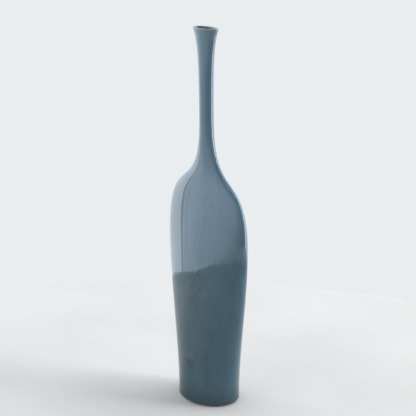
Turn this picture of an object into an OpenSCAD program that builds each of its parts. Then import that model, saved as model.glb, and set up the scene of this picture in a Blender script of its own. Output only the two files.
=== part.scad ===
// Tall flattened bottle-shaped bud vase in slip-cast, glazed stoneware.
// +Z is up, the broad faces look along -Y and +Y, and the origin is the centre
// of the foot on the surface that the vase stands on. All sizes are in millimetres.
//
// Every level of the vase is an ellipse centred on the Z axis. A level is written
// as a ring [z, half width, half depth], and a solid is a list of rings joined by
// facets. Neighbouring solids use the same rings, so they meet face to face.

/* [Overall] */
// Height from the foot to the top of the lip
height = 400; // [385:1:415]

/* [Foot] */
// Width of the outline just above the heel
foot_w = 76; // [70:1:82]
// Depth of the outline just above the heel
foot_d = 59; // [54:1:64]
// Height of the bare foot ring outside, under the heel
foot_rise = 0.6; // [0.4:0.1:1]
// Height of the hollow inside the foot ring
foot_recess = 2; // [1.2:0.1:2.4]
// Radius of the rounded heel
heel_r = 1.8; // [1.5:0.1:3]
// Width of the foot ring's standing face
foot_ring_w = 6; // [5:0.5:7]

/* [Shoulder] */
// Greatest width, at the shoulder
shoulder_w = 127.6; // [120:0.2:134]
// Depth at the shoulder
shoulder_d = 36; // [33:1:40]
// Height of the shoulder
shoulder_z = 185; // [178:1:192]

/* [Neck and lip] */
// Width of the neck at its waist
neck_w = 17.4; // [16.4:0.2:20]
// Depth of the neck at its waist
neck_d = 13.8; // [13.2:0.2:16]
// Height of the neck's waist
neck_z = 309; // [303:1:315]
// Width across the flared lip
lip_w = 36; // [33:0.5:39]
// Depth across the flared lip
lip_d = 19.6; // [18:0.2:23]

/* [Clay and glaze] */
// Wall of the casting at the foot
foot_wall = 4.6; // [4:0.1:5.2]
// Wall of the casting at the neck
neck_wall = 2.4; // [2.1:0.1:2.6]
// Thickness of the floor of the casting
floor_t = 4.9; // [4:0.1:6]
// Thickness of the outer glaze
glaze_t = 0.5; // [0.3:0.1:0.6]
// Thickness of the glaze inside
liner_t = 0.3; // [0.2:0.1:0.4]
// Thickness of the slip in the luted joints
slip_t = 0.6; // [0.4:0.1:0.8]

/* [Hidden] */

// facets round each ring, and curve steps in each stretch of the profile
SIDES = 40;
BODY_STEPS = 10;
SHOULDER_STEPS = 12;
NECK_STEPS = 9;

// rings of the profile where one solid hands over to the next
DIP_RING = 8;                    // edge between the lower and the upper glaze
COLLAR_RING = BODY_STEPS + 7;    // the casting's inner face turns in to a collar
JOINT_RING = BODY_STEPS + 9;     // the neck is luted on here

// how far the profile keeps its direction each side of its turning points
FOOT_HOLD = 38;
SHOULDER_HOLD = [55, 78];
NECK_HOLD = [89, 60];
LIP_HOLD = 16;
DEPTH_TAPER = 0.12;              // depth lost per mm of height at the shoulder
FOOT_TAPER = 0.075;              // depth lost per mm of height at the foot
LIP_FLARE = [0.37, 0.22];        // widening per mm of height at the lip

// small details of the foot, the floor, the neck joint and the lip
BARE_EDGE = 0.3;                 // bare clay between the foot ring and the glaze
FLOOR_BEVEL = 2.5;               // where the floor turns up into the wall
HOLE_HALF = [20, 13.5];          // half width and half depth of the pour hole below
HOLE_TAPER = 2.5;                // how much smaller it is at the top, all round
SPIGOT_LEN = 5;
SPIGOT_WALL = 1.5;
COLLAR_T = 4.5;                  // height of the collar that the spigot stands on
HEEL_STEPS = 4;
LIP_RISE = 0.8;                  // height of the glaze's bead over the clay
LIP_STEPS = 4;

// the profile as three cubic curves of rings: body, shoulder, neck
FOOT = [0, foot_w / 2, foot_d / 2];
SHOULDER = [shoulder_z, shoulder_w / 2, shoulder_d / 2];
WAIST = [neck_z, neck_w / 2, neck_d / 2];
LIP = [height, lip_w / 2, lip_d / 2];
RISE = [1, 0, 0];
SHOULDER_RISE = [1, 0, -DEPTH_TAPER];
BODY_CURVE = [
    FOOT,
    FOOT + FOOT_HOLD * [1, 0, -FOOT_TAPER],
    SHOULDER - SHOULDER_HOLD[0] * SHOULDER_RISE,
    SHOULDER
];
SHOULDER_CURVE = [
    SHOULDER,
    SHOULDER + SHOULDER_HOLD[1] * SHOULDER_RISE,
    WAIST - NECK_HOLD[0] * RISE,
    WAIST
];
NECK_CURVE = [
    WAIST,
    WAIST + NECK_HOLD[1] * RISE,
    LIP - LIP_HOLD * [1, LIP_FLARE[0], LIP_FLARE[1]],
    LIP
];

// a point of a cubic curve, and its direction
function cubic(p, t) =
    pow(1 - t, 3) * p[0] + 3 * pow(1 - t, 2) * t * p[1]
    + 3 * (1 - t) * t * t * p[2] + pow(t, 3) * p[3];
function cubic_step(p, t) =
    pow(1 - t, 2) * (p[1] - p[0]) + 2 * (1 - t) * t * (p[2] - p[1]) + t * t * (p[3] - p[2]);

// a ring of the profile with the stretch that its slope gives to a wall:
// [z, half width, half depth, stretch along X, stretch along Y]
function profile_ring(p, t) =
    let (at = cubic(p, t), step = cubic_step(p, t))
    concat(at, [norm([1, step[1] / step[0]]), norm([1, step[2] / step[0]])]);
function profile_rings(p, steps, first) =
    [for (i = [first : steps]) profile_ring(p, i / steps)];
PROFILE = concat(
    profile_rings(BODY_CURVE, BODY_STEPS, 0),
    profile_rings(SHOULDER_CURVE, SHOULDER_STEPS, 1),
    profile_rings(NECK_CURVE, NECK_STEPS, 1)
);
LAST_RING = len(PROFILE) - 1;

// a ring moved inwards by a thickness measured square to the surface
function inset(ring, t) = [ring[0], ring[1] - t * ring[3], ring[2] - t * ring[4], ring[3], ring[4]];
// a ring at another height, or moved inwards by the same amount all round
function at_z(ring, z) = [z, ring[1], ring[2], 1, 1];
function shrink(ring, t) = [ring[0], ring[1] - t, ring[2] - t, 1, 1];
function rings(first, last, t) = [for (i = [first : last]) inset(PROFILE[i], t)];
function reversed(list) = [for (i = [len(list) - 1 : -1 : 0]) list[i]];

// wall of the casting, thinning evenly from the foot to the neck's waist
function wall(z) = neck_wall + (foot_wall - neck_wall) * max(0, 1 - z / neck_z);
function inner_rings(first, last) =
    [for (i = [first : last]) inset(PROFILE[i], glaze_t + wall(PROFILE[i][0]))];

// the heel: a quarter circle from the glaze's lower edge up to the outline
GLAZE_FOOT_Z = foot_rise + BARE_EDGE;
function heel_rings(t) = [
    for (i = [0 : HEEL_STEPS])
        let (turn = 90 * i / HEEL_STEPS)
        shrink(at_z(PROFILE[0], GLAZE_FOOT_Z + heel_r * (1 - cos(turn))), t + heel_r * (1 - sin(turn)))
];

// the foot ring, the floor and the pour hole in it
FOOT_OUTER = shrink(PROFILE[0], glaze_t + heel_r + BARE_EDGE);
FOOT_INNER = shrink(FOOT_OUTER, foot_ring_w);
FLOOR_Z = foot_recess + floor_t;
HOLE_LOW = concat(foot_recess, HOLE_HALF, [1, 1]);
HOLE_HIGH = shrink(at_z(HOLE_LOW, FLOOR_Z), HOLE_TAPER);
FLOOR_CORNER = shrink(at_z(PROFILE[0], FLOOR_Z), glaze_t + foot_wall + FLOOR_BEVEL);
WALL_FOOT = shrink(at_z(PROFILE[0], FLOOR_Z + FLOOR_BEVEL), glaze_t + foot_wall);

// the luted neck joint: a collar in the casting, a socket, and a spigot in it
JOINT_Z = PROFILE[JOINT_RING][0];
COLLAR = at_z(inner_rings(JOINT_RING, JOINT_RING)[0], JOINT_Z);
SOCKET = shrink(COLLAR, -(SPIGOT_WALL + slip_t));
LEDGE_Z = JOINT_Z - SPIGOT_LEN;
JOINT_EDGE = at_z(inset(PROFILE[JOINT_RING], glaze_t), JOINT_Z);
NECK_BASE = at_z(JOINT_EDGE, JOINT_Z);

// the castings stop short of the lip by the glaze that rolls over it
CLAY_TOP_Z = height - LIP_RISE;
LIP_CLAY = at_z(inset(PROFILE[LAST_RING], glaze_t), CLAY_TOP_Z);
LIP_BORE = at_z(inset(PROFILE[LAST_RING], glaze_t + neck_wall), CLAY_TOP_Z);

// the glaze's bead over the lip: half an ellipse from the outline to the liner
LIP_T = glaze_t + neck_wall + liner_t;
LIP_BEAD = [
    for (i = [0 : LIP_STEPS - 1])
        let (turn = 180 * i / LIP_STEPS)
        at_z(inset(PROFILE[LAST_RING], LIP_T / 2 * (1 - cos(turn))), CLAY_TOP_Z + LIP_RISE * sin(turn))
];

BODY_INNER = concat(
    [FLOOR_CORNER, WALL_FOOT],
    inner_rings(1, COLLAR_RING),
    [at_z(COLLAR, LEDGE_Z - COLLAR_T), at_z(COLLAR, LEDGE_Z)]
);
NECK_INNER = concat(
    [at_z(COLLAR, LEDGE_Z + slip_t)],
    inner_rings(JOINT_RING, LAST_RING - 1),
    [LIP_BORE]
);

// points of all rings, one after the other
function ring_points(list) = [
    for (ring = list, i = [0 : SIDES - 1])
        let (turn = 360 * i / SIDES)
        [ring[1] * cos(turn), ring[2] * sin(turn), ring[0]]
];
// two triangles a facet between rings a and b; the diagonal always climbs the
// same way, so that two solids which share a surface share its triangles
function band(list, a, b) = [
    for (i = [0 : SIDES - 1])
        let (
            j = (i + 1) % SIDES,
            p = a * SIDES + i, q = a * SIDES + j,
            r = b * SIDES + j, s = b * SIDES + i,
            climbs = list[b][0] >= list[a][0]
        )
        each (climbs ? [[p, s, r], [p, r, q]] : [[p, s, q], [q, s, r]])
];

// a tube-like solid whose wall section is the closed loop of rings
module loop_solid(list) {
    count = len(list);
    polyhedron(
        points = ring_points(list),
        faces = [for (k = [0 : count - 1]) each band(list, k, (k + 1) % count)],
        convexity = 8
    );
}

// a solid with no hole down its middle: the first and last rings are closed off
module capped_solid(list) {
    count = len(list);
    top = (count - 1) * SIDES;
    polyhedron(
        points = ring_points(list),
        faces = concat(
            [[for (i = [0 : SIDES - 1]) i]],
            [for (k = [0 : count - 2]) each band(list, k, k + 1)],
            [[for (i = [SIDES - 1 : -1 : 0]) top + i]]
        ),
        convexity = 8
    );
}

// cast body: foot ring, floor with its pour hole, wall, and socket for the neck
module body_casting() {
    color("#b9b2a6")
    loop_solid(concat(
        [at_z(FOOT_OUTER, 0), at_z(FOOT_OUTER, foot_rise)],
        heel_rings(glaze_t),
        rings(1, JOINT_RING - 1, glaze_t),
        [JOINT_EDGE, SOCKET, at_z(SOCKET, LEDGE_Z)],
        reversed(BODY_INNER),
        [HOLE_HIGH, HOLE_LOW, at_z(FOOT_INNER, foot_recess), at_z(FOOT_INNER, 0)]
    ));
}

// tapered plug that closes the pour hole
module base_plug() {
    color("#ada596")
    capped_solid([shrink(HOLE_LOW, slip_t), shrink(HOLE_HIGH, slip_t)]);
}

// slip that holds the plug in the hole
module base_luting_slip() {
    color("#8f8778")
    loop_solid([HOLE_LOW, HOLE_HIGH, shrink(HOLE_HIGH, slip_t), shrink(HOLE_LOW, slip_t)]);
}

// cast neck with its flared lip and the spigot that enters the body
module neck_casting() {
    color("#c2bbaf")
    loop_solid(concat(
        [at_z(shrink(SOCKET, slip_t), LEDGE_Z + slip_t), shrink(SOCKET, slip_t), NECK_BASE],
        rings(JOINT_RING + 1, LAST_RING - 1, glaze_t),
        [LIP_CLAY],
        reversed(NECK_INNER)
    ));
}

// slip in the socket, under and around the spigot
module neck_luting_slip() {
    color("#8f8778")
    loop_solid([
        at_z(SOCKET, LEDGE_Z), SOCKET, shrink(SOCKET, slip_t),
        at_z(shrink(SOCKET, slip_t), LEDGE_Z + slip_t),
        at_z(COLLAR, LEDGE_Z + slip_t), at_z(COLLAR, LEDGE_Z)
    ]);
}

// glaze on the whole inside, floor included
module liner_glaze() {
    outer = concat(BODY_INNER, NECK_INNER);
    inner = [for (ring = outer) inset(ring, liner_t)];
    floor_inner = at_z(inner[0], FLOOR_Z + liner_t);
    color("#5f7480")
    capped_solid(concat(
        outer,
        reversed([for (i = [1 : len(inner) - 1]) inner[i]]),
        [floor_inner]
    ));
}

// light slate-blue coat from the dip line up and over the lip
module upper_glaze() {
    color("#6d808d")
    loop_solid(concat(
        rings(DIP_RING, LAST_RING - 1, 0),
        LIP_BEAD,
        [inset(LIP_BORE, liner_t), LIP_BORE, LIP_CLAY],
        reversed(rings(JOINT_RING + 1, LAST_RING - 1, glaze_t)),
        [NECK_BASE],
        reversed(rings(DIP_RING, JOINT_RING - 1, glaze_t))
    ));
}

// deep teal coat from the heel up to the dip line
module lower_glaze() {
    color("#43555f")
    loop_solid(concat(
        heel_rings(0),
        rings(1, DIP_RING, 0),
        reversed(rings(1, DIP_RING, glaze_t)),
        reversed(heel_rings(glaze_t))
    ));
}

body_casting();
base_plug();
base_luting_slip();
neck_casting();
neck_luting_slip();
liner_glaze();
upper_glaze();
lower_glaze();
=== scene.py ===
import math

import bpy
import numpy as np
from mathutils import Matrix, Vector, noise


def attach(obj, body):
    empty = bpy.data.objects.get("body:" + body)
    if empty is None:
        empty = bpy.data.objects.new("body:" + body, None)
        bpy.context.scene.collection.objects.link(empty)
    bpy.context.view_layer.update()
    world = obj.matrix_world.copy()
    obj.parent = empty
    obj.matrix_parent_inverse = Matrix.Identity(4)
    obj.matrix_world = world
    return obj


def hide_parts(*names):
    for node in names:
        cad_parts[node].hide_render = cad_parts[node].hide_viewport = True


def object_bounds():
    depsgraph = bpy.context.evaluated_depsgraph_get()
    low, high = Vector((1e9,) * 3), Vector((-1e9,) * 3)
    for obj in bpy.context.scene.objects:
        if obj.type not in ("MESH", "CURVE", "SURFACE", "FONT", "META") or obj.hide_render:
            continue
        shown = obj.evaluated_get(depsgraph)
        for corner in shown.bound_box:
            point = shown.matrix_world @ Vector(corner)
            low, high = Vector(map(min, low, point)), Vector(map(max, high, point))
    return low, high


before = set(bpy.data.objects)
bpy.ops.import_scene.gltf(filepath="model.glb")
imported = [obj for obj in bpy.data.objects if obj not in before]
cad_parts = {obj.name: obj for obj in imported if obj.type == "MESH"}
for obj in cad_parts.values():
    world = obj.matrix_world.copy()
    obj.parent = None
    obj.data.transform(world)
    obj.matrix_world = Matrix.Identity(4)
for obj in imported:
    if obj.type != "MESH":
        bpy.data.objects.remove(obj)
cad_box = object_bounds()

MM = 0.001

# ---------------------------------------------------------------- driving sizes

# layers of the wall, as in the CAD model
GLAZE = 0.5 * MM
LINER = 0.3 * MM
FOOT_WALL = 4.6 * MM
NECK_WALL = 2.4 * MM
HEEL_STEPS = 4                    # facets of the CAD heel's quarter circle
SAME_LEVEL = 0.005 * MM           # CAD points this close in height belong to one ring
ON_AXIS = 0.01 * MM               # CAD points this close to an axis give a half width or depth
LIP_BEAD = 0.5 * MM               # CAD rings this close to the top turn over the lip

# facets of the finished meshes
SIDES = 256
LEVEL = 1.6 * MM                  # height of a facet on the coats
CLAY_LEVEL = 4 * LEVEL            # and on the clay
HIDDEN_LEVEL = 5 * LEVEL          # and behind the coats
HEEL_FACETS = 8
SOFT_EDGE = 0.3 * MM              # rounding of the clay's edges

# the second dip
DIP_PROUD = 0.03 * MM             # how thick it stands on the first coat
DIP_TAPER = 9.0 * MM              # how far it thins out
DIP_TAPER_STEPS = 6
DIP_LAP = 14.0 * MM               # how far the two coats lap
DIP_DROP = 3.0 * MM               # its edge crosses the broad faces this far under the CAD's ring
DIP_SLANT = 0.42                  # rise of its edge for each unit to the right, along X

# the lip's bead
LIP_RISE = 1.1 * MM
LIP_STEPS = 12
LIP_INSIDE = 0.4 * MM             # how far the outer coat runs down inside the neck

HEIGHT = cad_box[1].z


# ---------------------------------------------------------------- outline, read from the CAD rings

def levels(node):
    """The node's rings: {height: (greatest half width, half depth, least half width, half depth)}."""
    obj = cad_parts[node]
    rings = {}
    for vertex in obj.data.vertices:
        x, y, z = obj.matrix_world @ vertex.co
        rings.setdefault(round(z / SAME_LEVEL), []).append((abs(x), abs(y), z))
    table = {}
    for ring in rings.values():
        on_x = [p[0] for p in ring if p[1] < ON_AXIS]
        on_y = [p[1] for p in ring if p[0] < ON_AXIS]
        if on_x and on_y:
            table[ring[0][2]] = (max(on_x), max(on_y), min(on_x), min(on_y))
    return table


def outline():
    """Heights, half widths and half depths of the outermost rings, from the glaze's foot to the lip."""
    rings = {}
    for node in ("lower_glaze", "upper_glaze"):
        rings.update(levels(node))
    below_lip = sorted(z for z in rings if z < HEIGHT - LIP_BEAD)
    return np.array([(z, rings[z][0], rings[z][1]) for z in below_lip])


class Spline:
    """Natural cubic spline through points, with its slope."""

    def __init__(self, x, y):
        n = len(x)
        h = np.diff(x)
        system = np.eye(n)
        right = np.zeros(n)
        for i in range(1, n - 1):
            system[i, i - 1:i + 2] = h[i - 1], 2 * (h[i - 1] + h[i]), h[i]
            right[i] = 6 * ((y[i + 1] - y[i]) / h[i] - (y[i] - y[i - 1]) / h[i - 1])
        self.x, self.y, self.h, self.m = x, y, h, np.linalg.solve(system, right)

    def _piece(self, at):
        i = np.clip(np.searchsorted(self.x, at) - 1, 0, len(self.h) - 1)
        return i, at - self.x[i], self.x[i + 1] - at

    def __call__(self, at):
        i, left, right = self._piece(at)
        h, m, y = self.h[i], self.m, self.y
        cubic = (m[i] * right ** 3 + m[i + 1] * left ** 3) / (6 * h)
        return cubic + (y[i] / h - m[i] * h / 6) * right + (y[i + 1] / h - m[i + 1] * h / 6) * left

    def slope(self, at):
        i, left, right = self._piece(at)
        h, m, y = self.h[i], self.m, self.y
        bend = (m[i + 1] * left ** 2 - m[i] * right ** 2) / (2 * h)
        return bend + (y[i + 1] - y[i]) / h - (m[i + 1] - m[i]) * h / 6


OUTLINE = outline()
GLAZE_FOOT_Z = OUTLINE[0, 0]
HEEL_Z = OUTLINE[HEEL_STEPS, 0]
HEEL_R = HEEL_Z - GLAZE_FOOT_Z
WALL_RINGS = OUTLINE[HEEL_STEPS:]
HALF_W = Spline(WALL_RINGS[:, 0], WALL_RINGS[:, 1])
HALF_D = Spline(WALL_RINGS[:, 0], WALL_RINGS[:, 2])
TOP_Z = WALL_RINGS[-1, 0]
DIP_Z = max(levels("lower_glaze"))
WAIST_Z = WALL_RINGS[np.argmin(WALL_RINGS[:, 1]), 0]

TURN = np.linspace(0, 2 * math.pi, SIDES, endpoint=False)
COS, SIN = np.cos(TURN), np.sin(TURN)


def clay_wall(z):
    """Wall of the casting, thinning evenly from the foot to the neck's waist."""
    return NECK_WALL + (FOOT_WALL - NECK_WALL) * np.maximum(0, 1 - z / WAIST_Z)


def layer(z, depth):
    """Points at heights z and a depth under the outer surface; both may vary along a ring."""
    z = np.broadcast_to(z, (SIDES,))
    inside = np.clip(z, HEEL_Z, TOP_Z)
    a = HALF_W(inside) - depth * np.sqrt(1 + HALF_W.slope(inside) ** 2)
    b = HALF_D(inside) - depth * np.sqrt(1 + HALF_D.slope(inside) ** 2)
    return np.column_stack((a * COS, b * SIN, z))


def flat_ring(a, b, z):
    return np.column_stack((a * COS, b * SIN, np.full(SIDES, z)))


def heel(depth):
    """Rings of the rounded heel, from the glaze's lower edge up to the wall."""
    rings = []
    a, b = HALF_W(np.array([HEEL_Z]))[0], HALF_D(np.array([HEEL_Z]))[0]
    for step in range(HEEL_FACETS):
        turn = math.pi / 2 * step / HEEL_FACETS
        inward = depth + HEEL_R * (1 - math.sin(turn))
        rings.append(flat_ring(a - inward, b - inward, GLAZE_FOOT_Z + HEEL_R * (1 - math.cos(turn))))
    return rings


def heights(start, end, step):
    """Heights from start to end, both included, about a step apart; either may be a ring of heights."""
    count = max(2, int(math.ceil(float(np.max(np.abs(end - start))) / step)) + 1)
    return [start + (end - start) * i / (count - 1) for i in range(count)]


# ---------------------------------------------------------------- meshes

def solid(name, rings, loop):
    """A smooth mesh through rings; loop joins the last ring to the first, otherwise both ends are closed."""
    points = np.concatenate(rings)
    count = len(rings)
    faces = []
    for k in range(count if loop else count - 1):
        low, high = k * SIDES, (k + 1) % count * SIDES
        for i in range(SIDES):
            j = (i + 1) % SIDES
            faces.append((low + i, low + j, high + j, high + i))
    if not loop:
        faces.append(tuple(range(SIDES - 1, -1, -1)))
        faces.append(tuple(range((count - 1) * SIDES, count * SIDES)))
    mesh = bpy.data.meshes.new(name)
    mesh.from_pydata(points.tolist(), [], faces)
    mesh.update()
    for face in mesh.polygons:
        face.use_smooth = True
    obj = bpy.data.objects.new(name, mesh)
    bpy.context.scene.collection.objects.link(obj)
    return obj


def mark(obj, name, values):
    """Stores a number for each vertex, for the materials."""
    attribute = obj.data.attributes.new(name, "FLOAT", "POINT")
    attribute.data.foreach_set("value", np.asarray(values, dtype=np.float32))


# ---------------------------------------------------------------- the ragged edge of the second dip

def edge_noise(turn, scale, seed):
    """Smooth noise that closes round the vase, from about -1 to 1."""
    return noise.noise(Vector((math.cos(turn) * scale, math.sin(turn) * scale, seed)))


def dip_edge():
    """Height of the dip line: a slant, with soft waves and a few drips and notches, some millimetres high."""
    line = []
    half_w = HALF_W(np.array([DIP_Z]))[0]
    for turn in TURN:
        slant = DIP_SLANT * half_w * math.cos(turn)
        waves = 2.2 * edge_noise(turn, 3.4, 7.7)
        teeth = 1.7 * edge_noise(turn, 12.0, 1.9) + 1.0 * edge_noise(turn, 29.0, 5.3)
        calm = 0.35 + 0.65 * abs(math.sin(turn))
        line.append(DIP_Z - DIP_DROP + slant + (waves + teeth) * calm * MM)
    return np.array(line)


EDGE = dip_edge()
# half the width of the colour change in millimetres, wide at the right-hand end
EDGE_SOFT = 1.0 + 7.0 * np.maximum(0, COS) ** 2


def mark_dip(obj):
    """Height above the dip line in millimetres, and how soft the line is, for every vertex."""
    places = np.empty(len(obj.data.vertices) * 3)
    obj.data.vertices.foreach_get("co", places)
    z = places[2::3].reshape(-1, SIDES)
    mark(obj, "above_dip", ((z - EDGE) / MM).ravel())
    mark(obj, "dip_soft", np.broadcast_to(EDGE_SOFT, z.shape).ravel())


def make_upper_coat():
    """First dip, from its lap with the second one up over the lip to the liner."""
    low = EDGE - DIP_LAP
    lip_base = HEIGHT - LIP_RISE
    outer = [layer(z, 0) for z in heights(low, np.full(SIDES, lip_base), LEVEL)]
    thickness = GLAZE + NECK_WALL + LINER
    bead = []
    for step in range(1, LIP_STEPS):
        turn = math.pi * step / LIP_STEPS
        depth = thickness / 2 * (1 - math.cos(turn))
        bead.append(layer(lip_base + LIP_RISE * math.sin(turn), depth))
    inside = [layer(z, thickness) for z in heights(lip_base, lip_base - LIP_INSIDE, LEVEL)]
    under = [layer(lip_base - LIP_INSIDE, GLAZE + NECK_WALL), layer(lip_base, GLAZE + NECK_WALL)]
    under += [layer(z, GLAZE) for z in heights(np.full(SIDES, lip_base), low, HIDDEN_LEVEL)]
    coat = solid("upper_coat", outer + bead + inside + under, loop=True)
    mark_dip(coat)
    return coat


def make_lower_coat():
    """Second dip, from the heel up to the dip line, with its lap behind the first."""
    foot = np.full(SIDES, HEEL_Z)
    outer = heel(-DIP_PROUD)
    outer += [layer(z, -DIP_PROUD) for z in heights(foot, EDGE - DIP_TAPER, LEVEL)]
    edge_sunk = 0.01 * MM         # its edge ends this far inside the first coat
    lap_sunk = 0.05 * MM          # and the two coats lap this far inside it
    for step in range(1, DIP_TAPER_STEPS + 1):
        part = step / DIP_TAPER_STEPS
        proud = DIP_PROUD * math.cos(part * math.pi / 2) - edge_sunk * part
        outer.append(layer(EDGE - DIP_TAPER * (1 - part), -proud))
    under = [layer(EDGE - DIP_LAP, lap_sunk), layer(EDGE - DIP_LAP - MM, GLAZE)]
    under += [layer(z, GLAZE) for z in heights(EDGE - DIP_LAP - 2 * MM, foot, HIDDEN_LEVEL)]
    coat = solid("lower_coat", outer + under + heel(GLAZE)[::-1], loop=True)
    mark_dip(coat)
    return coat


def make_liner():
    """Inner glaze, from under the lip to the floor, with the collar at the luted joint."""
    rings = levels("liner_glaze")
    top = HEIGHT - LIP_RISE - LIP_INSIDE
    floor = min(rings)
    above_floor = floor + 1.5 * LINER
    steps = sorted(z for z in rings if above_floor < z < top)
    outer = [flat_ring(rings[floor][0], rings[floor][1], floor)]
    outer += [flat_ring(rings[z][0], rings[z][1], z) for z in steps]
    inner = [flat_ring(rings[z][2], rings[z][3], z) for z in reversed(steps)]
    thickness = GLAZE + NECK_WALL
    rim = [layer(top, thickness), layer(top, thickness + LINER)]
    floor_size = 0.985            # of the ring above, so that the corner at the floor is not sharp
    last = inner[-1] * (floor_size, floor_size, 1)
    last[:, 2] = floor + LINER
    return solid("inner_glaze", outer + rim + inner + [last], loop=False)


def make_clay_body():
    """Cast body: foot ring with softened edges, heel, wall, and the floor with its pour hole."""
    rings = levels("body_casting")
    hole = levels("base_luting_slip")
    recess, floor = min(hole), max(hole)
    rise = sorted(rings)[1]
    foot_a, foot_b, in_a, in_b = rings[min(rings)]
    joint = max(rings)
    bevel = 2.0 * MM              # where the floor turns up into the wall
    soft = SOFT_EDGE
    knee = soft * 0.3             # middle point of a rounded edge
    foot = [
        flat_ring(foot_a - soft, foot_b - soft, 0),
        flat_ring(foot_a - knee, foot_b - knee, knee),
        flat_ring(foot_a, foot_b, soft),
        flat_ring(foot_a, foot_b, rise),
    ]
    wall = [layer(z, GLAZE) for z in heights(HEEL_Z, joint, CLAY_LEVEL)]
    bore = [layer(z, GLAZE + clay_wall(z)) for z in heights(joint, floor + bevel, CLAY_LEVEL)]
    bottom = [
        layer(floor, GLAZE + FOOT_WALL + bevel),
        flat_ring(*hole[floor][:2], floor),
        flat_ring(*hole[recess][:2], recess),
        flat_ring(in_a - soft, in_b - soft, recess),
        flat_ring(in_a, in_b, recess - soft),
        flat_ring(in_a, in_b, soft),
        flat_ring(in_a + knee, in_b + knee, knee),
        flat_ring(in_a + soft, in_b + soft, 0),
    ]
    return solid("clay_body", foot + heel(GLAZE) + wall + bore + bottom, loop=True)


def make_plug():
    """Tapered plug in the pour hole, with a softened lower edge."""
    rings = levels("base_plug")
    low, high = min(rings), max(rings)
    return solid("pour_hole_plug", [
        flat_ring(rings[low][0] - SOFT_EDGE, rings[low][1] - SOFT_EDGE, low),
        flat_ring(rings[low][0], rings[low][1], low + SOFT_EDGE),
        flat_ring(rings[high][0], rings[high][1], high),
    ], loop=False)


def make_plug_seam():
    """Luting slip round the plug, smeared a little proud and uneven where it was wiped."""
    rings = levels("base_luting_slip")
    low, high = min(rings), max(rings)
    out_a, out_b, in_a, in_b = rings[low]
    smear = 0.4 * MM              # how far it is wiped onto the clay on either side
    bulge = np.array([0.25 + 0.15 * edge_noise(turn, 6.0, 2.2) for turn in TURN]) * MM
    middle = flat_ring((out_a + in_a) / 2, (out_b + in_b) / 2, low)
    middle[:, 2] -= bulge
    return solid("plug_seam", [
        flat_ring(out_a + smear, out_b + smear, low),
        flat_ring(rings[high][0], rings[high][1], high),
        flat_ring(rings[high][2], rings[high][3], high),
        flat_ring(in_a - smear, in_b - smear, low),
        middle,
    ], loop=True)


# ---------------------------------------------------------------- materials

class Nodes:
    """A node tree, with short calls for the nodes used here."""

    def __init__(self, tree):
        self.nodes = tree.nodes
        self.links = tree.links

    def set(self, socket, value):
        if isinstance(value, bpy.types.NodeSocket):
            self.links.new(value, socket)
        else:
            socket.default_value = value

    def add(self, kind, **inputs):
        """A new node, with its inputs linked or set."""
        node = self.nodes.new("ShaderNode" + kind)
        for name, value in inputs.items():
            self.set(node.inputs[name.replace("_", " ")], value)
        return node

    def math(self, operation, a, b=0.0):
        node = self.add("Math")
        node.operation = operation
        self.set(node.inputs[0], a)
        self.set(node.inputs[1], b)
        return node.outputs[0]

    def mix(self, factor, a, b):
        node = self.add("Mix")
        node.data_type = "RGBA"
        self.set(node.inputs["Factor"], factor)
        self.set(node.inputs["A"], a)
        self.set(node.inputs["B"], b)
        return node.outputs["Result"]


class Shader(Nodes):
    """The nodes of a material, placed by the object's own coordinates."""

    def __init__(self, name):
        self.material = bpy.data.materials.new(name)
        self.material.use_nodes = True
        super().__init__(self.material.node_tree)
        self.bsdf = self.nodes["Principled BSDF"]
        self.place = self.add("TexCoord").outputs["Object"]

    def principled(self, **sockets):
        for name, value in sockets.items():
            self.set(self.bsdf.inputs[name.replace("_", " ")], value)

    def ramp(self, value, low, high, to_low=0.0, to_high=1.0):
        """Smooth step of value from low to high."""
        node = self.add("MapRange")
        node.interpolation_type = "SMOOTHSTEP"
        for socket, number in zip(node.inputs[:5], (value, low, high, to_low, to_high)):
            self.set(socket, number)
        return node.outputs[0]

    def noise(self, scale, detail=3.0, rough=0.5, stretch=(1, 1, 1), distortion=0.0):
        place = self.add("Mapping", Vector=self.place, Scale=stretch).outputs[0]
        shape = {"Scale": scale, "Detail": detail, "Roughness": rough, "Distortion": distortion}
        return self.add("TexNoise", Vector=place, **shape).outputs[0]

    def specks(self, scale, size):
        """One at the middle of scattered cells, zero elsewhere."""
        node = self.add("TexVoronoi", Vector=self.place, Scale=scale)
        return self.ramp(node.outputs["Distance"], size, size * 0.4)

    def attribute(self, name):
        node = self.add("Attribute")
        node.attribute_name = name
        return node.outputs["Fac"]

    def along(self, axis):
        return self.add("SeparateXYZ", Vector=self.place).outputs[axis]

    def bump(self, height, strength, distance, base=None):
        node = self.add("Bump", Strength=strength, Distance=distance, Height=height)
        if base is not None:
            self.set(node.inputs["Normal"], base)
        return node.outputs[0]


def srgb(code):
    """Linear colour of a six-digit display colour."""
    parts = [int(code[i:i + 2], 16) / 255 for i in (0, 2, 4)]
    return tuple(c / 12.92 if c < 0.04045 else ((c + 0.055) / 1.055) ** 2.4 for c in parts) + (1.0,)


def slate_and_reflection_colour(s):
    """Light coat: slate blue with slow clouds, paler where it runs thin; its paleness is partly the glaze's
    own colour and partly painted reflection of the bright room.
    """
    clouds = s.noise(26, 4, 0.55, (1, 1, 0.45))
    streaks = s.noise(120, 3, 0.6, (1, 1, 0.12))
    # these pale slate colours hold painted reflection of the bright room as well as the glaze's own colour
    base = s.mix(s.ramp(clouds, 0.3, 0.7), srgb("48626f"), srgb("547080"))
    return s.mix(s.math("MULTIPLY", s.ramp(streaks, 0.45, 0.75), 0.25), base, srgb("627d8c"))


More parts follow.
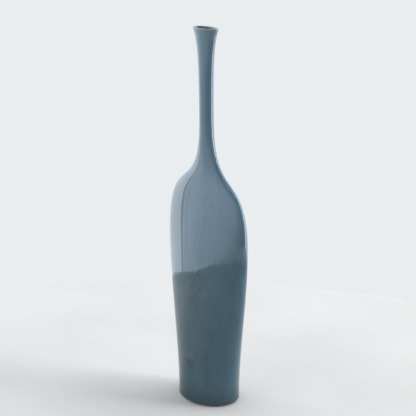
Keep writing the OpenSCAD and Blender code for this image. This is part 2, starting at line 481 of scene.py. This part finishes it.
def teal_colour(s):
    """Second dip: deep teal with dark mottling, bluer and calmer to the right, darkest by the heel."""
    right = s.ramp(s.along("X"), -5 * MM, 50 * MM)
    clouds = s.noise(34, 4, 0.6, (1, 1, 0.5))
    base = s.mix(s.ramp(clouds, 0.32, 0.68), srgb("2c4850"), srgb("375861"))
    base = s.mix(s.math("MULTIPLY", right, 0.7), base, srgb("305668"))
    blotch = s.ramp(s.noise(66, 5, 0.65, (1, 1, 0.55), 0.3), 0.46, 0.72)
    strength = s.ramp(right, 0.0, 1.0, 0.85, 0.35)
    base = s.mix(s.math("MULTIPLY", blotch, strength), base, srgb("1c3036"))
    # darker towards the heel
    near_heel = s.ramp(s.along("Z"), 26 * MM, 3 * MM)
    return s.mix(s.math("MULTIPLY", near_heel, 0.55), base, srgb("1f3840"))


def coat_material(name):
    """Both outer glazes: the dip line decides which colour shows, and the paler one above it is partly
    painted reflection of the bright room.
    """
    s = Shader(name)
    # height above the dip line in millimetres, roughened on a finer scale than the mesh holds
    ragged = s.math("MULTIPLY", s.math("SUBTRACT", s.noise(420, 4, 0.6), 0.5), 7.0)
    above = s.math("ADD", s.attribute("above_dip"), ragged)
    soft = s.attribute("dip_soft")
    # above the line the slate shows: partly the glaze's own colour, partly painted reflection of the bright
    # room
    upper = s.ramp(above, s.math("MULTIPLY", soft, -1.0), soft)
    colour = s.mix(upper, teal_colour(s), slate_and_reflection_colour(s))
    # a broken dark line where the second dip ends, except where its edge is soft
    brink = s.math("MULTIPLY", s.ramp(above, -2.2, -0.4), s.ramp(above, 0.9, 0.0))
    brink = s.math("MULTIPLY", brink, s.ramp(s.noise(150, 3), 0.42, 0.62))
    brink = s.math("MULTIPLY", brink, s.ramp(soft, 4.0, 1.5))
    colour = s.mix(s.math("MULTIPLY", brink, 0.75), colour, srgb("17292f"))
    # the glaze runs thin and dull on the lip
    thin = s.ramp(s.along("Z"), HEIGHT - 2.6 * MM, HEIGHT - 0.4 * MM)
    thin = s.math("MULTIPLY", thin, s.ramp(s.noise(180, 2), 0.3, 0.6, 0.75, 1.0))
    colour = s.mix(thin, colour, srgb("64777d"))
    pinholes = s.math("MULTIPLY", s.specks(330, 0.1), s.ramp(s.noise(40, 2), 0.5, 0.62))
    colour = s.mix(s.math("MULTIPLY", pinholes, 0.45), colour, srgb("26343a"))
    rough = s.ramp(s.noise(60, 3), 0.3, 0.7, 0.02, 0.045)
    rough = s.math("ADD", rough, s.math("MULTIPLY", pinholes, 0.2))
    rough = s.math("ADD", rough, s.math("MULTIPLY", thin, 0.32))
    slow = s.bump(s.noise(22, 2, 0.4, (1, 1, 0.6)), 0.08, 0.4 * MM)
    fine = s.bump(s.noise(260, 2, 0.5), 0.02, 0.1 * MM, slow)
    pits = s.bump(s.math("MULTIPLY", pinholes, -1.0), 0.5, 0.1 * MM, fine)
    s.principled(Base_Color=colour, Roughness=rough, Normal=pits, IOR=1.6)
    return s.material


def liner_material():
    s = Shader("liner_glaze")
    # near-black colours: painted shade of the inside of the deep neck
    colour = s.mix(s.ramp(s.noise(90, 3), 0.35, 0.65), srgb("191a1b"), srgb("262b2c"))
    s.principled(Base_Color=colour, Roughness=s.ramp(s.noise(140, 2), 0.3, 0.7, 0.08, 0.16), IOR=1.52,
                 Normal=s.bump(s.noise(160, 2), 0.2, 0.15 * MM))
    return s.material


def clay_material(name, light, dark, grain):
    """Bare fired stoneware: sandy, matt, with iron specks."""
    s = Shader(name)
    colour = s.mix(s.ramp(s.noise(grain, 5, 0.65), 0.35, 0.65), srgb(dark), srgb(light))
    colour = s.mix(s.math("MULTIPLY", s.specks(900, 0.16), 0.55), colour, srgb("4b3c30"))
    s.principled(Base_Color=colour, Roughness=s.ramp(s.noise(700, 3), 0.3, 0.7, 0.75, 0.95),
                 Normal=s.bump(s.noise(1400, 4, 0.7), 0.4, 0.08 * MM))
    return s.material


def floor_material():
    s = Shader("pale_floor")
    colour = s.mix(s.ramp(s.noise(6, 3), 0.3, 0.7), srgb("d0cecc"), srgb("d6d4d2"))
    s.principled(Base_Color=colour, Roughness=s.ramp(s.noise(30, 2), 0.3, 0.7, 0.7, 0.8), IOR=1.2)
    return s.material


# ---------------------------------------------------------------- camera, floor and light

# the main view: which way the camera looks, from how far, and its long lens
VIEW_TURN = math.radians(53)
VIEW_FALL = math.radians(15.57)
VIEW_ROLL = math.radians(0.54)
VIEW_FAR = 3.359 * HEIGHT
LOOK_AT = (0.0018 * HEIGHT, 0.527 * HEIGHT)      # sideways from the axis, and up
LENS = 110.9
SENSOR = 36.0


def make_camera():
    data = bpy.data.cameras.new("camera")
    data.lens = LENS
    data.sensor_width = SENSOR
    data.clip_start = 0.05
    camera = bpy.data.objects.new("camera", data)
    bpy.context.scene.collection.objects.link(camera)
    back = Vector((math.sin(VIEW_TURN) * math.cos(VIEW_FALL), -math.cos(VIEW_TURN) * math.cos(VIEW_FALL),
                   math.sin(VIEW_FALL)))
    right = Vector((math.cos(VIEW_TURN), math.sin(VIEW_TURN), 0))
    up = back.cross(right)
    level_right = right * math.cos(VIEW_ROLL) - up * math.sin(VIEW_ROLL)
    level_up = right * math.sin(VIEW_ROLL) + up * math.cos(VIEW_ROLL)
    target = right * LOOK_AT[0] + Vector((0, 0, LOOK_AT[1]))
    place = Matrix((level_right, level_up, back)).transposed().to_4x4()
    place.translation = target + back * VIEW_FAR
    camera.matrix_world = place
    bpy.context.scene.camera = camera


FLOOR_SIZE = (0.64, 0.524)        # half its width and half its depth, as the camera looks
FLOOR_AT = (-0.075, 0.139)        # its middle, seen from the vase: sideways, and towards the camera
# its rim from below to the top: how far inwards, and the height
FLOOR_RIM = [(0.02, -0.03), (0, -0.02), (0, -0.006), (0.002, -0.0015), (0.006, 0)]


def make_floor():
    """An oval pale top with a softened edge, as large as a table for this vase."""
    sideways = Vector((math.cos(VIEW_TURN), math.sin(VIEW_TURN), 0))
    ahead = Vector((math.sin(VIEW_TURN), -math.cos(VIEW_TURN), 0))
    rim = [flat_ring(FLOOR_SIZE[0] - inward, FLOOR_SIZE[1] - inward, z) for inward, z in FLOOR_RIM]
    floor = solid("floor", rim, loop=False)
    floor.rotation_euler.z = VIEW_TURN
    floor.location = sideways * FLOOR_AT[0] + ahead * FLOOR_AT[1]
    floor.data.materials.append(floor_material())


# brightness of the room by bearing: degrees to the right of the camera's side of the vase
ROUND = [
    (-180, 1.1), (-150, 1.7), (-121, 2.3), (-119.5, 2.5), (-118.5, 1.0), (-116.5, 1.0), (-115.5, 1.9),
    (-113, 1.5), (-108, 1.8), (-97, 1.4), (-50, 1.15), (-16, 0.6), (0, 0.6), (5, 0.25), (38, 0.2), (42, 0.02),
    (68, 0.02), (71, 7.5), (84, 6.0), (92, 3.2), (110, 2.6), (130, 1.9), (155, 1.3), (180, 1.1)
]
# and by elevation, in degrees
UP = [(-90, 0.5), (-22, 0.75), (-6, 0.95), (8, 1.15), (30, 1.15), (44, 0.55), (90, 0.5)]
# where the curtains are in blue shade, by bearing
SHADE = [(-180, 0.0), (-118, 0.0), (-110, 1.0), (-20, 1.0), (30, 0.0), (180, 0.0)]
ROOM = 1.08
ROOM_TINT = (0.95, 0.98, 1.0, 1.0)
SHADE_TINT = (0.9, 0.95, 1.03, 1.0)
BACKDROP = srgb("e9edef")


def make_light():
    """A soft room: a bright window to the right, pale curtains behind and to the left, and a dim front."""
    world = bpy.data.worlds.new("soft_room")
    bpy.context.scene.world = world
    world.use_nodes = True
    s = Nodes(world.node_tree)

    def lookup(value, low, high, stops):
        """Value read along a list of (place, brightness) stops, straight between them."""
        span = s.add("MapRange", Value=value, From_Min=low, From_Max=high)
        ramp = s.add("ValToRGB", Fac=span.outputs[0])
        elements = ramp.color_ramp.elements
        while len(elements) > 1:
            elements.remove(elements[-1])
        scale = max(brightness for _, brightness in stops)
        for i, (place, brightness) in enumerate(stops):
            at = (place - low) / (high - low)
            stop = elements[0] if i == 0 else elements.new(at)
            stop.position = at
            stop.color = (brightness / scale,) * 3 + (1,)
        return s.math("MULTIPLY", ramp.outputs["Color"], scale)

    # the world's own direction, turned so that X points to the camera's side of the vase
    place = s.add("TexCoord").outputs["Generated"]
    turned = s.add("VectorRotate", Vector=place, Angle=math.pi / 2 - VIEW_TURN).outputs[0]
    parts = s.add("SeparateXYZ", Vector=turned).outputs
    bearing = s.math("DEGREES", s.math("ARCTAN2", parts["Y"], parts["X"]))
    elevation = s.math("DEGREES", s.math("ARCSINE", parts["Z"]))
    light = s.math("MULTIPLY", lookup(bearing, -180, 180, ROUND), lookup(elevation, -90, 90, UP))
    tint = s.mix(lookup(bearing, -180, 180, SHADE), ROOM_TINT, SHADE_TINT)
    room = s.add("Background", Color=tint, Strength=s.math("MULTIPLY", light, ROOM))
    seen = s.add("Background", Color=BACKDROP)
    choose = s.add("MixShader")
    rays = s.add("LightPath").outputs["Is Camera Ray"]
    for socket, value in zip(choose.inputs, (rays, room.outputs[0], seen.outputs[0])):
        s.set(socket, value)
    s.set(s.nodes["World Output"].inputs["Surface"], choose.outputs[0])


# ---------------------------------------------------------------- build

def finish_piece(piece, material, slot, *nodes):
    piece.data.materials.append(material)
    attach(piece, "root")
    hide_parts(*nodes)


def dress_node(node, material):
    """Gives a CAD node that stays its finished material."""
    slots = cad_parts[node].data.materials
    slots.clear()
    slots.append(material)


make_camera()
make_floor()
make_light()
bpy.context.scene.view_settings.view_transform = "Standard"

clay = clay_material("bare_clay", "ccb59c", "b39c84", 220)
slip = clay_material("luting_slip", "8d8069", "75674f", 320)

finish_piece(make_upper_coat(), coat_material("upper_coat"), "slate_glaze", "upper_glaze")
finish_piece(make_lower_coat(), coat_material("lower_coat"), "teal_glaze", "lower_glaze")
finish_piece(make_liner(), liner_material(), "liner_glaze", "liner_glaze")
finish_piece(make_clay_body(), clay, "bisque_clay", "body_casting")
finish_piece(make_plug(), clay, "bisque_clay", "base_plug")
finish_piece(make_plug_seam(), slip, "luting_slip", "base_luting_slip")
dress_node("neck_casting", clay)
dress_node("neck_luting_slip", slip)
